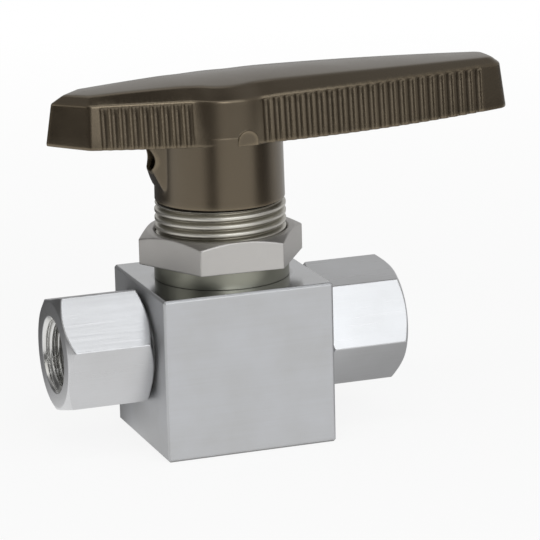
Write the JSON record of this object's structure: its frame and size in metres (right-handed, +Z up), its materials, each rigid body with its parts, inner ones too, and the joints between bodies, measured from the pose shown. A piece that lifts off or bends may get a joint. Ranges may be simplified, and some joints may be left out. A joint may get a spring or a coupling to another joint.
{
  "type": "panel mount ball valve",
  "caption": "Two-way panel mount ball valve: steel block with hexagonal threaded ends, threaded bonnet with panel nut, and a fluted black bar handle.",
  "frame": {"origin": "centre of the valve block's flat underside, on the stem axis", "axes": "+X along the flow axis towards the handle's long arm, +Z up the stem axis, +Y to the back"},
  "size_m": [0.0932, 0.0318, 0.0712],
  "materials": {
    "stainless_block": "satin drawn and milled stainless steel",
    "stainless_turned": "machined stainless steel",
    "stainless_polished": "polished stainless steel",
    "spring_steel": "plain spring steel",
    "dark_screw_steel": "black oxide",
    "brass": "turned brass",
    "black_nylon": "moulded black nylon with a brown cast",
    "seat_plastic": "machined tan plastic",
    "white_ptfe": "machined white plastic",
    "black_rubber": "moulded rubber"
  },
  "bodies": {
    "body": {"bonnet": "stainless_turned", "bonnet_oring": "black_rubber", "left_connector_oring": "black_rubber", "left_end_connector": "stainless_turned", "left_seat": "seat_plastic", "left_seat_carrier": "stainless_turned", "left_seat_oring": "black_rubber", "left_seat_springs": "spring_steel", "lower_backup_ring": "white_ptfe", "lower_thrust_washer": "seat_plastic", "lower_trunnion_bearing": "seat_plastic", "packing_gland": "stainless_turned", "packing_nut": "stainless_turned", "packing_springs": "spring_steel", "right_connector_oring": "black_rubber", "right_end_connector": "stainless_turned", "right_seat": "seat_plastic", "right_seat_carrier": "stainless_turned", "right_seat_oring": "black_rubber", "right_seat_springs": "spring_steel", "stem_oring": "black_rubber", "stop_pin": "stainless_polished", "upper_backup_ring": "white_ptfe", "upper_stem_bearing": "seat_plastic", "valve_body": "stainless_block"},
    "handle": {"ball_stem": "stainless_polished", "handle": "black_nylon", "handle_insert": "brass", "handle_set_screw": "dark_screw_steel"},
    "panel_nut": {"panel_nut": "stainless_turned"}
  },
  "joints": [
    {"name": "handle_turn", "type": "hinge", "parent": "body", "child": "handle", "pos_m": [0, 0, 0.01945], "axis": [0, 0, 1], "range_deg": [-90, 0]},
    {"name": "panel_nut_travel", "type": "slide", "parent": "body", "child": "panel_nut", "axis": [0, 0, 1], "range_m": [0, 0.0055]}
  ]
}
